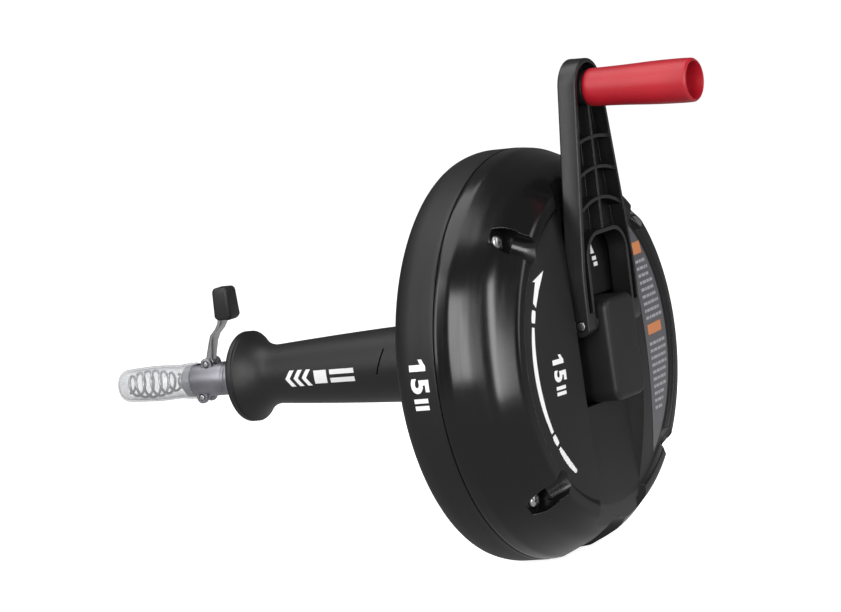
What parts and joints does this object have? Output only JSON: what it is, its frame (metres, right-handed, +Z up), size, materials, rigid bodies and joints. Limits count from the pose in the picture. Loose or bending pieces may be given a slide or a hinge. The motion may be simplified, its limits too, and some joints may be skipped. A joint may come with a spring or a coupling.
{
  "type": "hand drum auger",
  "caption": "Hand-cranked drain snake: a round cable drum with a folding crank and red knob, a grip, a lever-locked nose and a capped coiled auger head.",
  "frame": {"origin": "centre of the overall box, at the level of the drum's lowest edge", "axes": "+X from the nose to the crank along the drum's axis, +Z up, with the crank upright"},
  "size_m": [0.3506, 0.204, 0.2434],
  "materials": {
    "drum_black": "semi-gloss moulded black plastic",
    "satin_black": "satin moulded black plastic",
    "knob_red": "satin red plastic",
    "bright_steel": "zinc-plated steel",
    "cable_steel": "wound spring wire",
    "clear_vinyl": "clear flexible vinyl",
    "black_vinyl": "dipped black vinyl",
    "white_nylon": "natural nylon"
  },
  "bodies": {
    "drum": {"rear_shell": "drum_black", "front_shell": "drum_black", "shell_screw_1": "bright_steel", "shell_screw_2": "bright_steel", "shell_screw_3": "bright_steel", "shell_screw_4": "bright_steel", "hinge_block": "satin_black", "block_screw_1": "bright_steel", "block_screw_2": "bright_steel", "fold_pin": "bright_steel", "left_spacer": "satin_black", "right_spacer": "satin_black", "guide_tube": "bright_steel", "flange_screw_1": "bright_steel", "flange_screw_2": "bright_steel", "thrust_washer": "white_nylon", "nose_collar": "bright_steel", "lever_pin": "bright_steel", "lower_pin": "bright_steel", "clamp_shoe": "bright_steel", "cable_coil": "cable_steel", "cable_anchor": "satin_black", "anchor_screw": "bright_steel"},
    "grip": {"grip_handle": "satin_black"},
    "crank": {"crank_arm": "satin_black", "knob_axle": "bright_steel", "axle_nut": "bright_steel"},
    "knob": {"crank_knob": "knob_red"},
    "lever": {"lock_lever": "bright_steel", "lever_cap": "black_vinyl"},
    "cable": {"cable_lead": "cable_steel", "head_ferrule": "bright_steel", "auger_head": "cable_steel"},
    "tip_cap": {"tip_cap": "clear_vinyl"}
  },
  "joints": [
    {"name": "grip_spin", "type": "hinge", "parent": "drum", "child": "grip", "pos_m": [-0.04018, 0, 0.10091], "axis": [1, 0, 0], "continuous": true},
    {"name": "crank_fold", "type": "hinge", "parent": "drum", "child": "crank", "pos_m": [0.10882, 0, 0.11541], "axis": [0, 1, 0], "range_deg": [0, 178]},
    {"name": "knob_spin", "type": "hinge", "parent": "crank", "child": "knob", "pos_m": [0.14317, 0, 0.22794], "axis": [0.9996, 0, -0.0297], "continuous": true},
    {"name": "lever_lock", "type": "hinge", "parent": "drum", "child": "lever", "pos_m": [-0.12098, 0, 0.10921], "axis": [0, -1, 0], "range_deg": [0, 75]},
    {"name": "cable_feed", "type": "slide", "parent": "drum", "child": "cable", "axis": [-1, 0, 0], "range_m": [0, 0.12]},
    {"name": "cap_pull", "type": "slide", "parent": "cable", "child": "tip_cap", "axis": [-1, 0, 0], "range_m": [0, 0.07]}
  ]
}
